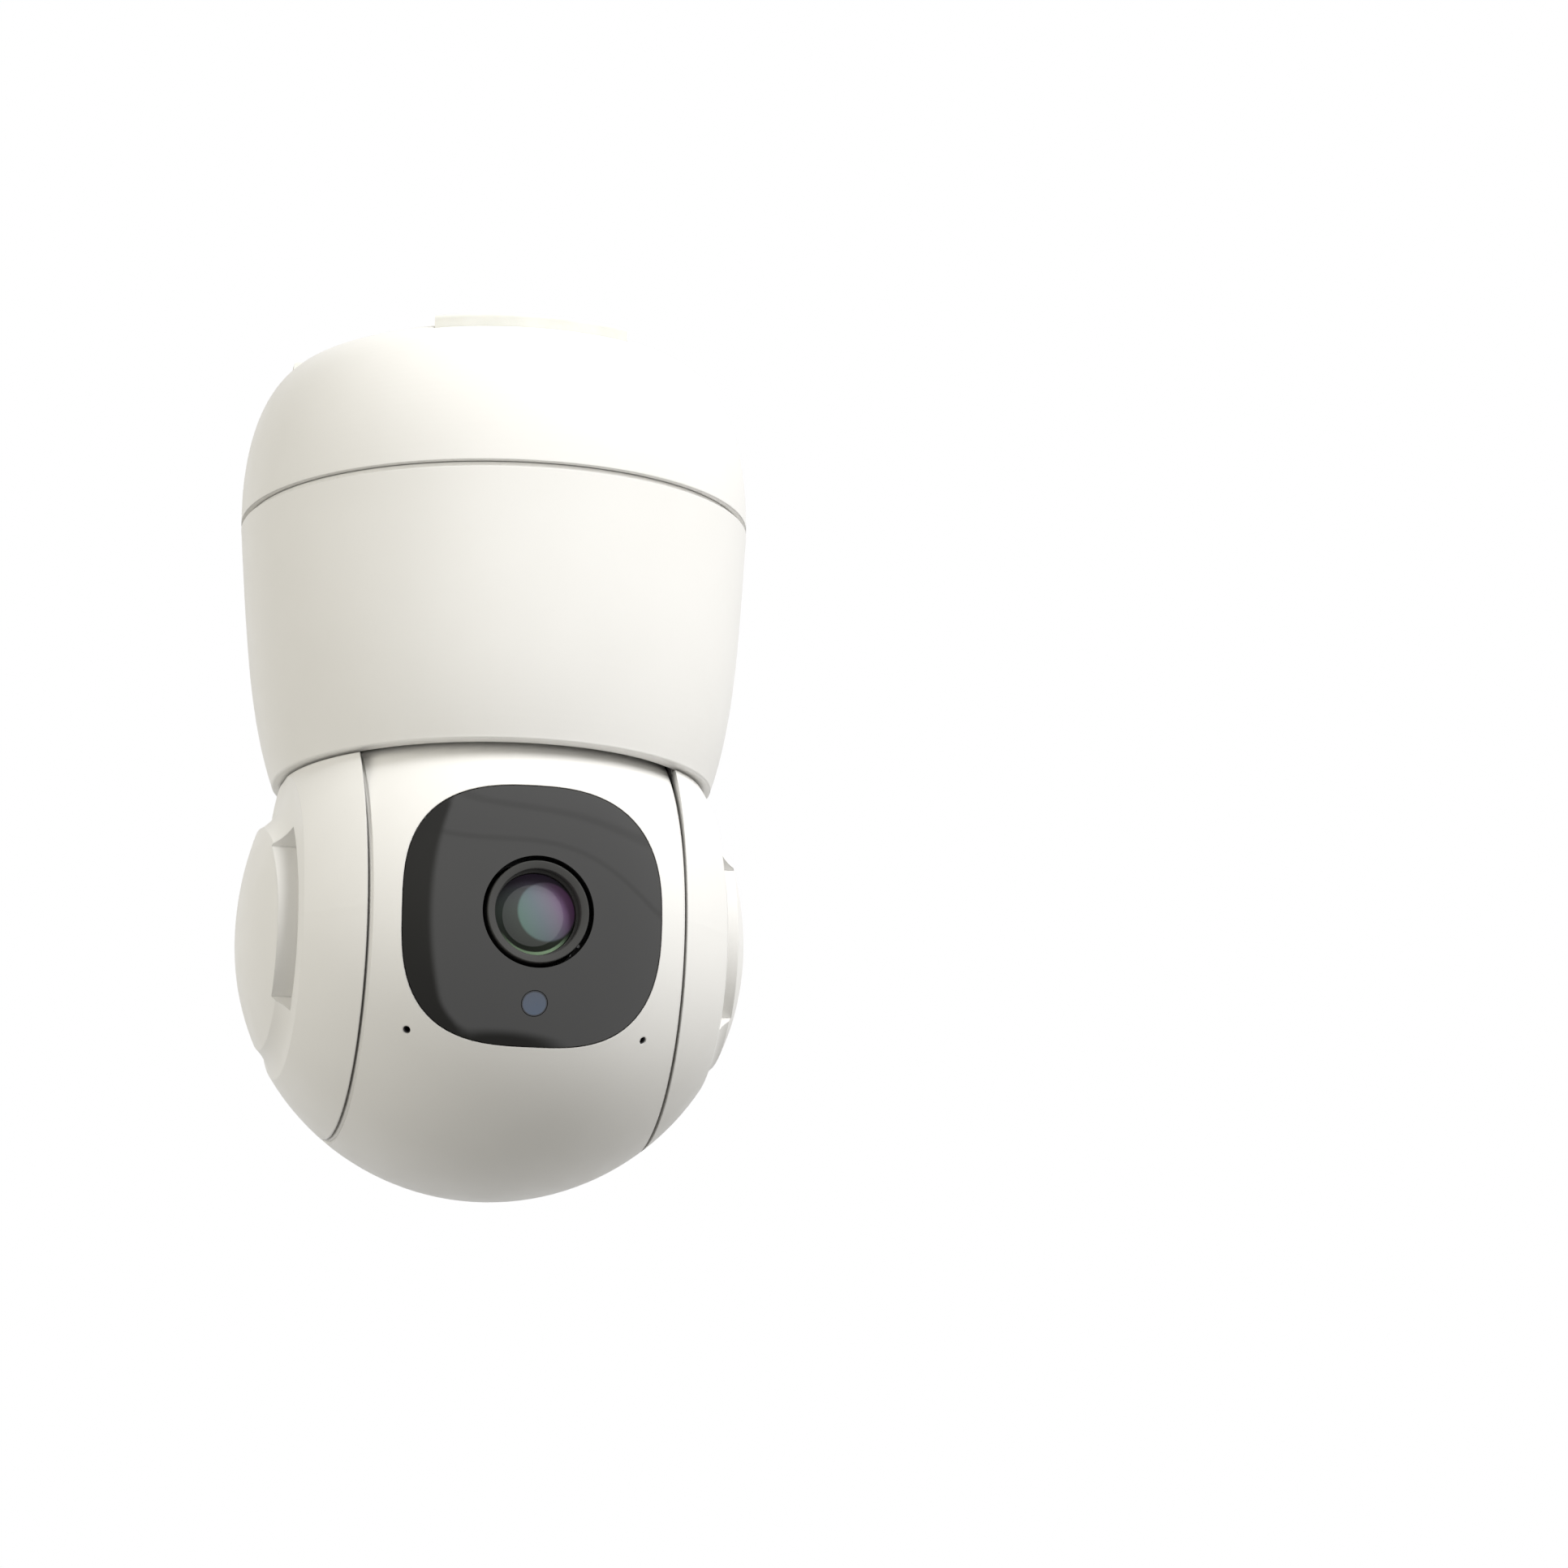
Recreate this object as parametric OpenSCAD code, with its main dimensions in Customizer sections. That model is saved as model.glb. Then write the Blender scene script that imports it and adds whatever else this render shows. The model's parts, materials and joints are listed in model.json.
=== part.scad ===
// Pan-and-tilt security camera, hanging from its ceiling plate.
// Millimetres. +Z up, lens towards -Y. The origin is the centre of the ceiling face of the mounting plate.

/* [Body] */
// Outside diameter of the base and of the top of the body
body_d = 80; // [79:0.5:82]
// Height of the base, from its seam to its highest ring
base_h = 25.3; // [25:0.1:26]
// Distance from the base seam down to the centre of the head
seam_to_head = 67.3; // [67:0.1:70]
// Height of the body's lower rim above the centre of the head
rim_above_head = 25.3; // [25:0.1:25.8]
// Height of the groove between the base and the body
seam_gap = 1; // [0.8:0.1:1.2]
// Thickness of the outer walls
wall = 2; // [1.8:0.1:2.2]

/* [Head] */
// Diameter of the tilting head
head_d = 79.4; // [79:0.1:79.6]
// Distance from the middle of the head to each side seam
side_seam = 24.7; // [24.5:0.1:25]
// Downward tilt of the lens at rest, in degrees
tilt_rest = 3.5; // [0:0.1:10]

/* [Front window] */
// Width and height of the dark window, measured straight across
window_w = 39.8; // [39:0.2:42]
// Squareness of the window: 2 is a circle, higher is squarer
window_power = 2.8; // [2.4:0.1:3.4]
// Diameter of the opening for the lens
lens_opening_d = 17.1; // [17:0.1:18.4]

/* [Mounting plate] */
// Outside diameter of the mounting plate
plate_d = 52; // [50:0.5:53]
// Height of the mounting plate from the ceiling to its lower face
plate_t = 3.4; // [3.2:0.1:3.8]
// Pitch circle diameter of the three screw holes
screw_pcd = 32.2; // [31:0.1:33]
// Diameter of the screw holes
screw_hole_d = 4.8; // [4:0.1:5]
// Angle that the base turns between locked and free
lock_turn = 30; // [28:1:30]

/* [Gears] */
// Tooth module of all gears
gear_module = 0.8; // [0.78:0.01:0.82]
// Teeth on the fixed pan gear
pan_teeth = 40; // [40:4:40]
// Teeth on the fixed tilt gear
tilt_teeth = 24; // [24:8:24]
// Teeth on both motor pinions
pinion_teeth = 12; // [12:12:12]

/* [Hidden] */
$fn = 96;
eps = 0.05;
fit = 0.05;             // running clearance, on the radius
white = "#eeeeec";
inner_white = "#dcdcd8";
window_grey = "#3c3c3e";
black = "#141416";
steel = "#b4b6ba";
board_green = "#1f5a3a";
gear_white = "#e8e4d8";

body_r = body_d / 2;
head_r = head_d / 2;

// levels, all below the ceiling at zero
recess_depth = 2;                       // the plate sits this deep in the base
face_z = -plate_t;                      // face of the base that meets the plate
land_z = face_z + recess_depth;         // highest ring of the base
face_t = 1.8;
under_z = face_z - face_t;
seam_z = land_z - base_h;
base_bottom_z = seam_z + seam_gap / 2;
body_top_z = seam_z - seam_gap / 2;
head_z = seam_z - seam_to_head;
rim_z = head_z + rim_above_head;

// base outline
crown_r = 28.6;
recess_r = 26.7;
shoulder_power_r = 2.12;
shoulder_power_z = 2.28;
foot_r0 = 27.4;
foot_r1 = 32.4;
foot_span = 56;
foot_top_z = -0.4;
boss_r = 11.6;
well_r = 20;
window_half = 41;                       // half the angle of a bayonet window
slot_r0 = boss_r - 0.1;
slot_r1 = 13.4;
cup_floor_z = -9;
cup_t = 1.5;
spindle_r = 8;
socket_y = 33.4;
socket_len = 11;
socket_w = 8.9;
socket_h = 3.2;
socket_wall = 0.3;
socket_z = -14;
tongue_w = 6.6;
tongue_t = 0.7;
power_board_in = 13;
power_board_out = 34;
power_board_top_z = -12.7;

// body outline
taper_straight = 2.73;
taper_curved = 2.76;
lip_r = 31.6;
lip_h = 3;
rim_round = 0.4;
inner_wall = wall + 0.1;
step_r = body_r - 0.9;
step_gap = 0.15;
step_top_z = seam_z + seam_gap / 2 - step_gap;
boss_at = 34.6;                         // centre of the screw bosses in the body
boss_hole_at = 34;
grille_pitch_x = 2.4;
grille_pitch_z = 2.1;
grille_r = 5.2;
grille_hole_r = 0.6;
speaker_z = -38.4;
speaker_y = 30.2;
speaker_r = 7.8;
speaker_h = 4.6;
speaker_magnet_r = 5;
antenna_r = 35.6;
antenna_t = 0.5;
antenna_bottom_z = -42;
antenna_top_z = -34;
antenna_half = 20;

// pan drive
gear_t = 3.2;
mesh_gap = 0.05;
pan_reach = gear_module * (pan_teeth + pinion_teeth) / 2 + mesh_gap;
tilt_reach = gear_module * (tilt_teeth + pinion_teeth) / 2 + mesh_gap;
gear_top_z = -20.6;
gear_bottom_z = gear_top_z - gear_t;
spindle_end_z = gear_bottom_z - 0.2;
hub_r = 11;
deck_top_z = body_top_z - 0.2;
deck_t = 2.5;
deck_bottom_z = deck_top_z - deck_t;
deck_r = 37.2;
motor_r = 12;
motor_len = 13;
motor_ear_at = 15.5;
motor_ear_r = 3.5;
motor_ear_t = 0.8;
motor_ear_hole_r = 1.4;
motor_boss_r = 4.2;
pinion_shaft_r = 0.95;
board_t = 1.2;
board_z = -47.4;                        // top of the main board
board_r = 31;
board_w = 48.6;
sink_side = 14;
fin_pitch = 3.2;
fin_t = 1.2;
screw_angles = [45, 135, 225, 315];

// arms and trunnions
arm_x0 = side_seam + 0.9;
arm_t = 2.5;
arm_x1 = arm_x0 + arm_t;
arm_half = 13;
trunnion_r = 6;
trunnion_bore = 3.5;
side_gap = 0.4;
head_half = side_seam - side_gap;       // half the width of the head
side_wall = 1.6;
wall_x = head_half - side_wall;         // inner face of the head's side walls
gear_x0 = 16.5;
split_y = 9.5;                          // plane between the head's front and rear shells

// side covers: the upper half is fuller than the head's sphere
fuller = 10.4;
groove_angle = 30.1;
groove_out = 7.6;
groove_r = 8.1;
slot_in = 16.6;
slot_out = 20.3;
slot_floor_x = 30.6;
slot_span = 90;
slot_wall = 1.6;
cover_boss_at = 10.6;
cover_boss_r = 2.6;
cover_screw_r = 0.85;

// optics, measured forwards from the middle of the head
window_gap = 0.15;
window_out = 0.05;
window_t = 1.6;
sensor_dot_angle = 20.3;
sensor_dot_r = 1.95;
mic_side = 18.2;
mic_down = 17.7;
mic_hole_r = 0.6;
bezel_in = 7.05;                        // bore of the lens bezel where it holds the barrel
bezel_out = 7.85;
bezel_back = 29.5;
bezel_front = 38.85;
bezel_throat = 6.75;
barrel_r = 6.95;
barrel_rear_r = 5.8;
element_r = 6.25;
element_curve = 13;
element_centre = 24.2;

// ---- shared shapes ----

// a block that follows an arc about Z
module arc_block(r0, r1, z0, z1, a0, a1) {
    rotate([0, 0, a0])
        rotate_extrude(angle = a1 - a0)
            translate([r0, z0])
                square([r1 - r0, z1 - z0]);
}

// a ring about Z
module ring(r0, r1, z0, z1) {
    rotate_extrude()
        translate([r0, z0])
            square([r1 - r0, z1 - z0]);
}

// a plain disc about Z between two heights
module disc(r, z0, z1) {
    translate([0, 0, z0])
        cylinder(r = r, h = z1 - z0);
}

// a rectangle with round corners, centred
module rounded_rect(w, h, r) {
    square([w - 2 * r, h], center = true);
    square([w, h - 2 * r], center = true);
    for (x = [-1, 1], y = [-1, 1])
        translate([x * (w / 2 - r), y * (h / 2 - r)])
            circle(r = r);
}

// turns local Z to +X, local X to +Y and local Y to +Z
module along_x() {
    rotate([90, 0, 90])
        children();
}

// turns local Z to -Y, so that things built upwards point out of the lens side
module forwards() {
    rotate([90, 0, 0])
        children();
}

// the middle of the head, not tilted
module at_head() {
    translate([0, 0, head_z])
        children();
}

// the head's own frame
module in_head() {
    at_head()
        rotate([tilt_rest, 0, 0])
            children();
}

// a pan head screw with its head at the origin and its shank along -Z
module small_screw(shank_r, length, head_r, head_h) {
    difference() {
        cylinder(r = head_r, h = head_h);
        translate([0, 0, head_h / 2])
            for (a = [0, 90])
                rotate([0, 0, a])
                    translate([-head_r * 0.6, -head_r * 0.14, 0])
                        cube([head_r * 1.2, head_r * 0.28, head_h]);
    }
    translate([0, 0, -length])
        cylinder(r = shank_r, h = length);
}

// involute gear outline
pressure = 25;
addendum = 0.8;
dedendum = 1.05;
backlash = 0.1;
function involute(a) = tan(a) * 180 / PI - a;
function half_tooth(r, pitch, base, teeth) =
    90 / teeth - backlash / 2 / pitch * 180 / PI + involute(pressure)
    - (r > base ? involute(acos(base / r)) : 0);
function flank(lo, hi, steps) = [for (i = [0:steps]) lo + (hi - lo) * i / steps];
function polar(r, a) = [r * cos(a), r * sin(a)];
function tooth_points(i, teeth, pitch, base, lo, hi) =
    let (rs = concat([lo], flank(max(base, lo + 0.01), hi, 4)), at = i * 360 / teeth)
    concat([for (k = [0:len(rs) - 1]) polar(rs[k], at - half_tooth(rs[k], pitch, base, teeth))],
           [for (k = [len(rs) - 1:-1:0]) polar(rs[k], at + half_tooth(rs[k], pitch, base, teeth))]);
module gear_outline(teeth) {
    pitch = gear_module * teeth / 2;
    polygon([for (i = [0:teeth - 1])
             each tooth_points(i, teeth, pitch, pitch * cos(pressure),
                               pitch - dedendum * gear_module, pitch + addendum * gear_module)]);
}

// ---- mounting plate ----

lug_start = 90 - window_half - lock_turn + 0.5;     // where each hook begins, in degrees
neck_span = 20;
lug_span = 28;
rim_w = 1.7;
floor_t = 1.3;
rib_t = 1;
hub_outer_r = 6.8;
hub_pocket_r = 5.2;
hook_r1 = 17;
hook_gap_r0 = 13.7;     // the opening over each hook
hook_gap_r1 = 17.6;

// half section of the plate: floor, outer rim and hollow hub
module plate_section() {
    translate([0, face_z])
        square([plate_d / 2, floor_t]);
    translate([plate_d / 2 - rim_w, face_z])
        square([rim_w, plate_t]);
    translate([hub_pocket_r, face_z])
        square([hub_outer_r - hub_pocket_r, plate_t]);
}

module plate_ribs() {
    for (i = [0:11])
        rotate([0, 0, lug_start + 2 + 30 * i])
            translate([hub_outer_r - 0.5, -rib_t / 2, face_z + floor_t / 2])
                cube([plate_d / 2 - hub_outer_r - 1, rib_t, plate_t - floor_t / 2 - 0.3]);
}

module plate_hook() {
    arc_block(slot_r0 + 0.2, slot_r1 - 0.2, under_z - 1.8, face_z + 0.5, lug_start, lug_start + neck_span);
    arc_block(slot_r0 + 0.2, hook_r1, under_z - 1.8, under_z - 0.2, lug_start, lug_start + lug_span);
}

module mounting_plate() {
    color(white)
    difference() {
        union() {
            rotate_extrude()
                plate_section();
            plate_ribs();
            for (i = [0:2])
                rotate([0, 0, 120 * i]) {
                    rotate([0, 0, lug_start + 59])
                        translate([screw_pcd / 2, 0, 0])
                            disc(screw_hole_d / 2 + 1.5, face_z + floor_t / 2, 0);
                    plate_hook();
                }
        }
        for (i = [0:2])
            rotate([0, 0, 120 * i]) {
                arc_block(hook_gap_r0, hook_gap_r1, under_z - 0.1, 1,
                          lug_start - 1.5, lug_start + lug_span + 4);
                arc_block(hook_gap_r0 - 2.3, hook_gap_r0 + 0.3, under_z - 0.05, 1,
                          lug_start + neck_span + 2, lug_start + lug_span + 3.5);
                rotate([0, 0, lug_start + 59])
                    translate([screw_pcd / 2, 0, 0])
                        disc(screw_hole_d / 2, face_z - 1, 1);
            }
    }
}

// ---- base ----

// outline of the shoulder, from the seam up to the highest ring
function shoulder(r0, r1, z0, z1, steps) = [for (i = [0:steps])
    let (t = 90 * i / steps)
    [r0 + (r1 - r0) * pow(cos(t), 2 / shoulder_power_r),
     z0 + (z1 - z0) * pow(sin(t), 2 / shoulder_power_z)]];

// the soft step from the highest ring down to the recess
function recess_slope(steps) = [for (i = [1:steps])
    let (t = 180 * i / steps)
    [crown_r - (crown_r - recess_r) * i / steps, land_z - recess_depth * (1 - cos(t)) / 2]];

module base_outline() {
    polygon(concat([[0, base_bottom_z]], shoulder(crown_r, body_r, base_bottom_z, land_z, 32),
                   recess_slope(10), [[0, face_z]]));
}

module cavity_outline() {
    polygon(concat([[0, base_bottom_z - 1]], [[body_r - wall - 0.2, base_bottom_z - 1]],
                   shoulder(crown_r - 2, body_r - wall - 0.2, base_bottom_z, under_z, 24),
                   [[0, under_z]]));
}

// half section of the base: shell, face plate, bayonet boss and pan spindle, with the stepped screw bore
module base_section() {
    difference() {
        union() {
            difference() {
                base_outline();
                cavity_outline();
            }
            translate([0, cup_floor_z - cup_t])
                square([boss_r, under_z - cup_floor_z + cup_t + 0.2]);
            translate([0, spindle_end_z])
                square([spindle_r, cup_floor_z - spindle_end_z]);
        }
        translate([-1, spindle_end_z - 1])
            square([3.5, 30]);
        translate([0, face_z - 3.2])
            square([2.95, 9]);
        translate([0, face_z - 0.7])
            square([4.3, 9]);
    }
}

// the flat at the back of the base where the power lead goes in
module socket_flat(extra) {
    translate([0, socket_y + 2, -14])
        rotate([-90, 0, 0])
            linear_extrude(12)
                rounded_rect(19 + extra, 9 + extra, 3);
}

module foot_profile(extra, z0) {
    translate([foot_r0 - extra, z0])
        square([foot_r1 - foot_r0 + 2 * extra, foot_top_z - z0 - 0.6]);
    translate([foot_r0 - extra + 0.6, z0])
        square([foot_r1 - foot_r0 + 2 * extra - 1.2, foot_top_z - z0]);
    for (r = [foot_r0 + 0.6 - extra, foot_r1 - 0.6 + extra])
        translate([r, foot_top_z - 0.6])
            circle(r = 0.6, $fn = 32);
}

module base_cap() {
    color(white)
    difference() {
        union() {
            rotate_extrude()
                base_section();
            intersection() {
                rotate_extrude()
                    base_outline();
                translate([-14, socket_y - 2, -20])
                    cube([28, 6, 14]);
            }
            for (a = [25, 155, 270])
                rotate([0, 0, a])
                    translate([30, 0, 0])
                        disc(2.6, -12.6, under_z + 0.2);
        }
        // bayonet windows and the slots that the hooks turn into
        for (i = [0:2])
            rotate([0, 0, 90 + 120 * i]) {
                arc_block(slot_r0, well_r, under_z - 0.2, face_z + 1, -window_half, window_half);
                arc_block(slot_r0, slot_r1, under_z - 0.2, face_z + 1,
                          -window_half - lock_turn, -window_half + 1);
            }
        // pockets for the three foot pads
        for (a = [30, 150, 270])
            rotate([0, 0, a - foot_span / 2 - 0.3])
                rotate_extrude(angle = foot_span + 0.6)
                    foot_profile(0.12, -3.2);
        // power inlet
        socket_flat(0);
        translate([0, socket_y - 4, -14])
            rotate([-90, 0, 0])
                linear_extrude(12)
                    rounded_rect(9.3, 3.5, 1.7);
        for (a = [25, 155, 270])
            rotate([0, 0, a])
                translate([30, 0, 0])
                    disc(0.9, -13, -7);
    }
}

module bayonet_cup() {
    color(inner_white) {
        ring(boss_r + fit, well_r + 1.6, cup_floor_z - cup_t, cup_floor_z);
        ring(well_r + 0.1, well_r + 1.6, cup_floor_z - 0.01, under_z - 0.02);
    }
}

module foot_pads() {
    color("#d9dad6")
    for (a = [30, 150, 270])
        rotate([0, 0, a - foot_span / 2])
            rotate_extrude(angle = foot_span)
                foot_profile(0, -3.15);
}

module pivot_bush() {
    color(gear_white)
    difference() {
        disc(2.45, spindle_end_z, face_z - 3.25);
        disc(1.5 + fit, spindle_end_z - 1, 0);
    }
}

module pivot_washer() {
    color(steel)
        ring(1.5 + fit, 2.85, face_z - 3.2, face_z - 2.8);
}

module pan_gear() {
    color(gear_white)
    difference() {
        translate([0, 0, gear_bottom_z])
            linear_extrude(gear_t)
                gear_outline(pan_teeth);
        disc(spindle_r + 0.03, gear_bottom_z - 1, gear_top_z + 1);
    }
}

module power_board() {
    color(board_green)
    difference() {
        union() {
            ring(power_board_in, power_board_out, power_board_top_z - board_t, power_board_top_z);
            translate([-9, -27, -16.4])
                cube([18, 12, 3]);
            translate([18, -8, -17.4])
                cube([8, 8, 4]);
            translate([-24, 6, 0])
                disc(3.2, -18.4, -13.5);
        }
        translate([-13, 24, -15])
            cube([26, 12, 3]);
        for (a = [25, 155, 270])
            rotate([0, 0, a])
                translate([30, 0, 0])
                    disc(1.1, -15, -12);
    }
}

module power_socket() {
    color(steel)
    translate([0, 24.4, socket_z])
        rotate([-90, 0, 0])
            difference() {
                linear_extrude(socket_len)
                    rounded_rect(socket_w, socket_h, 1.55);
                translate([0, 0, 5])
                    linear_extrude(socket_len)
                        difference() {
                            rounded_rect(socket_w - 2 * socket_wall, socket_h - 2 * socket_wall, 1.25);
                            square([tongue_w, tongue_t], center = true);
                        }
            }
}

// ---- body ----

function body_outline(steps) = [for (i = [0:steps])
    let (t = i / steps)
    [body_r - taper_straight * t - taper_curved * pow(t, 4),
     body_top_z + (rim_z + rim_round - body_top_z) * t]];
function body_inline(steps) = [for (i = [steps:-1:0])
    let (t = i / steps)
    [body_r - inner_wall - (taper_straight + 0.3) * t - taper_curved * pow(t, 4),
     body_top_z + (rim_z + lip_h - body_top_z) * t]];
function rim_edge(steps) = [for (i = [1:steps])
    let (t = 90 * i / steps, r = body_r - taper_straight - taper_curved)
    [r - rim_round * (1 - cos(t)), rim_z + rim_round * (1 - sin(t))]];

module body_wall() {
    rotate_extrude()
        polygon(concat(body_outline(28), rim_edge(6), [[lip_r + 0.4, rim_z], [lip_r, rim_z + 0.4]],
                       body_inline(16), [[body_r - inner_wall, step_top_z],
                       [step_r, step_top_z], [step_r, body_top_z]]));
}

module grille_holes() {
    for (row = [-2:2], col = [-2:2])
        let (x = (col + (row % 2 == 0 ? 0 : 0.5)) * grille_pitch_x,
             z = row * grille_pitch_z)
            if (norm([x, z]) < grille_r)
                translate([x, 0, z])
                    rotate([-90, 0, 0])
                        cylinder(r = grille_hole_r, h = 12, $fn = 24);
}

module body_shell() {
    color(white)
    difference() {
        union() {
            body_wall();
            for (a = screw_angles)
                rotate([0, 0, a])
                    translate([boss_at, 0, 0])
                        intersection() {
                            disc(3.2, deck_bottom_z - 9, deck_bottom_z - 0.05);
                            translate([-5, -5, -50])
                                cube([7.6, 10, 50]);
                        }
        }
        for (a = screw_angles)
            rotate([0, 0, a])
                translate([boss_hole_at, 0, 0])
                    disc(0.9, deck_bottom_z - 8, deck_bottom_z + 1);
        translate([0, speaker_y + 0.8, speaker_z])
            grille_holes();
    }
}

module arm(side) {
    at_head()
        along_x()
            translate([0, 0, side > 0 ? arm_x0 : -arm_x1])
                linear_extrude(arm_t) {
                    circle(r = arm_half);
                    translate([-arm_half, 0])
                        square([2 * arm_half, deck_bottom_z - head_z + 0.2]);
                }
    translate([side > 0 ? arm_x1 - 0.2 : -arm_x1 - 2.3, -0.8, rim_z + 4])
        cube([2.5, 1.6, deck_bottom_z - rim_z - 3.9]);
}

module arm_holes(side) {
    at_head()
        along_x()
            translate([0, 0, side > 0 ? 0 : -60]) {
                cylinder(r = trunnion_r + 0.02, h = 60);
                for (s = [-1, 1])
                    translate([0, s * 10.6, 0])
                        cylinder(r = 1.1, h = 60);
            }
    at_head()
        along_x()
            for (s = [-1, 1])
                translate([0, s * 10.6, side > 0 ? arm_x0 - 1 : -arm_x0 - 1.2])
                    cylinder(r = 2.1, h = 2.2);
}

standoffs = [[18, 16], [-18, 16], [18.5, -11], [-18.5, -11]];

module chassis() {
    color(inner_white)
    difference() {
        union() {
            disc(deck_r, deck_bottom_z, deck_top_z);
            disc(hub_r, deck_top_z - 0.5, spindle_end_z - 0.4);
            disc(5, deck_bottom_z - 4, deck_top_z);
            for (p = standoffs)
                translate([p[0], p[1], 0])
                    disc(2.2, board_z + 0.02, deck_bottom_z + 0.2);
            arm(1);
            arm(-1);
        }
        disc(1.5 + 0.03, -60, 0);
        translate([0, -pan_reach, 0])
            disc(6.6, -60, 0);
        for (a = screw_angles)
            rotate([0, 0, a])
                translate([34, 0, 0])
                    disc(1.15, -60, 0);
        arm_holes(1);
        arm_holes(-1);
        // channel for the lead bundle
        translate([-arm_x1 - 1, lead_y - 1.5, head_z + 16])
            cube([arm_t + 2, 3, board_z - head_z - 10]);
    }
}

module chassis_screws() {
    color(steel)
    for (a = screw_angles)
        rotate([0, 0, a])
            translate([34, 0, deck_top_z + 0.02])
                small_screw(0.85, 9, 1.8, 0.9);
}

module pivot_screw() {
    color(black)
    translate([0, 0, face_z - 2.78])
        difference() {
            union() {
                cylinder(r = 2.5, h = 1.7);
                translate([0, 0, deck_bottom_z - 2 - face_z])
                    cylinder(r = 1.5, h = face_z - deck_bottom_z + 2.1);
            }
            translate([0, 0, 0.7])
                for (a = [0, 60, 120])
                    rotate([0, 0, a])
                        translate([-1.3, -0.28, 0])
                            cube([2.6, 0.56, 2]);
        }
}

module motor(ear_turn) {
    difference() {
        union() {
            translate([0, 0, -motor_len])
                cylinder(r = motor_r, h = motor_len);
            translate([0, 0, -motor_ear_t])
                linear_extrude(motor_ear_t)
                    rotate([0, 0, ear_turn]) {
                        square([2 * motor_ear_at, 2 * motor_ear_r], center = true);
                        for (s = [-1, 1])
                            translate([s * motor_ear_at, 0])
                                circle(r = motor_ear_r);
                    }
            cylinder(r = motor_boss_r, h = 1.4);
        }
        translate([0, 0, -4])
            cylinder(r = 1, h = 8);
        for (s = [-1, 1])
            rotate([0, 0, ear_turn])
                translate([s * motor_ear_at, 0, -3])
                    cylinder(r = motor_ear_hole_r, h = 6);
    }
}

module pan_motor() {
    color(steel)
    translate([0, -pan_reach, deck_bottom_z - 0.02])
        motor(0);
}

module pan_pinion() {
    color(gear_white)
    translate([0, -pan_reach, 0]) {
        translate([0, 0, gear_bottom_z - 0.3])
            linear_extrude(gear_t + 0.6)
                rotate([0, 0, 90 + 180 / pinion_teeth])
                    gear_outline(pinion_teeth);
        disc(pinion_shaft_r, deck_bottom_z - 3.5, gear_bottom_z + 0.1);
    }
}

module main_board() {
    color(board_green)
    difference() {
        union() {
            translate([0, 0, board_z - board_t])
                linear_extrude(board_t)
                    intersection() {
                        circle(r = board_r);
                        square([board_w, 2 * board_r], center = true);
                    }
            translate([-14, 10, board_z - 0.01])
                cube([9, 9, 1.2]);
            translate([9, -6, board_z - 0.01])
                cube([10, 14, 2.2]);
            translate([-20.9, -5, board_z - 0.01])
                cube([5, 13, 4]);
        }
        for (p = standoffs)
            translate([p[0], p[1], 0])
                disc(1.1, -60, 0);
    }
}

module heatsink() {
    color("#9a9ca0")
    translate([-sink_side / 2, -sink_side / 2, board_z + 0.02]) {
        cube([sink_side, sink_side, 1.6]);
        for (i = [0:4])
            translate([0, i * fin_pitch, 1.5])
                cube([sink_side, fin_t, 1.6]);
    }
}

module speaker() {
    color(black)
    translate([0, speaker_y, speaker_z])
        rotate([-90, 0, 0])
            difference() {
                union() {
                    cylinder(r = speaker_r, h = speaker_h);
                    translate([0, 0, -2])
                        cylinder(r = speaker_magnet_r, h = 2.1);
                }
                translate([0, 0, 4])
                    cylinder(r = speaker_r - 1.2, h = 1);
            }
}

module wifi_antenna() {
    color("#c9a24a")
        arc_block(antenna_r, antenna_r + antenna_t, antenna_bottom_z, antenna_top_z,
                  -antenna_half, antenna_half);
}

module trunnion(side, reach) {
    at_head()
        mirror([side > 0 ? 0 : 1, 0, 0])
            along_x()
                difference() {
                    union() {
                        translate([0, 0, reach])
                            cylinder(r = trunnion_r, h = arm_x1 - reach + 0.1);
                        translate([0, 0, arm_x1 + 0.02])
                            cylinder(r = 8, h = 1.6);
                    }
                    cylinder(r = trunnion_bore, h = 40);
                }
}

module trunnion_left() {
    color(gear_white)
        trunnion(-1, 19);
}

module trunnion_right() {
    color(gear_white)
        trunnion(1, gear_x0);
}

module tilt_gear() {
    color(gear_white)
    at_head()
        rotate([tilt_rest, 0, 0])
            along_x()
                difference() {
                    translate([0, 0, gear_x0])
                        linear_extrude(gear_t)
                            gear_outline(tilt_teeth);
                    cylinder(r = trunnion_r + 0.02, h = 40);
                }
}

// ---- side covers ----

// half outline of a cover about Z, drawn inwards by a given wall
module cover_outline(in) {
    intersection() {
        circle(r = head_r - in);
        translate([0, -60])
            square([60, 60]);
    }
    intersection() {
        translate([-fuller, 0])
            circle(r = head_r + fuller - in);
        translate([0, -1])
            square([60, rim_above_head + 0.6]);
        translate([0, -1])
            square([60, 60]);
    }
}

module cover_solid() {
    intersection() {
        rotate_extrude()
            cover_outline(0);
        translate([side_seam, -60, -60])
            cube([60, 120, 60 + rim_above_head - 0.35]);
    }
    intersection() {
        disc(lip_r - 0.3, rim_above_head - 1, rim_above_head + 3);
        translate([side_seam, -60, 0])
            cube([60, 120, 60]);
    }
}

module cover_hollow() {
    intersection() {
        union() {
            rotate_extrude()
                cover_outline(wall);
            disc(lip_r - 0.3 - wall, rim_above_head - 2, rim_above_head + 4);
        }
        translate([side_seam - 1, -60, -60])
            cube([60, 120, 120]);
    }
}

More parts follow.
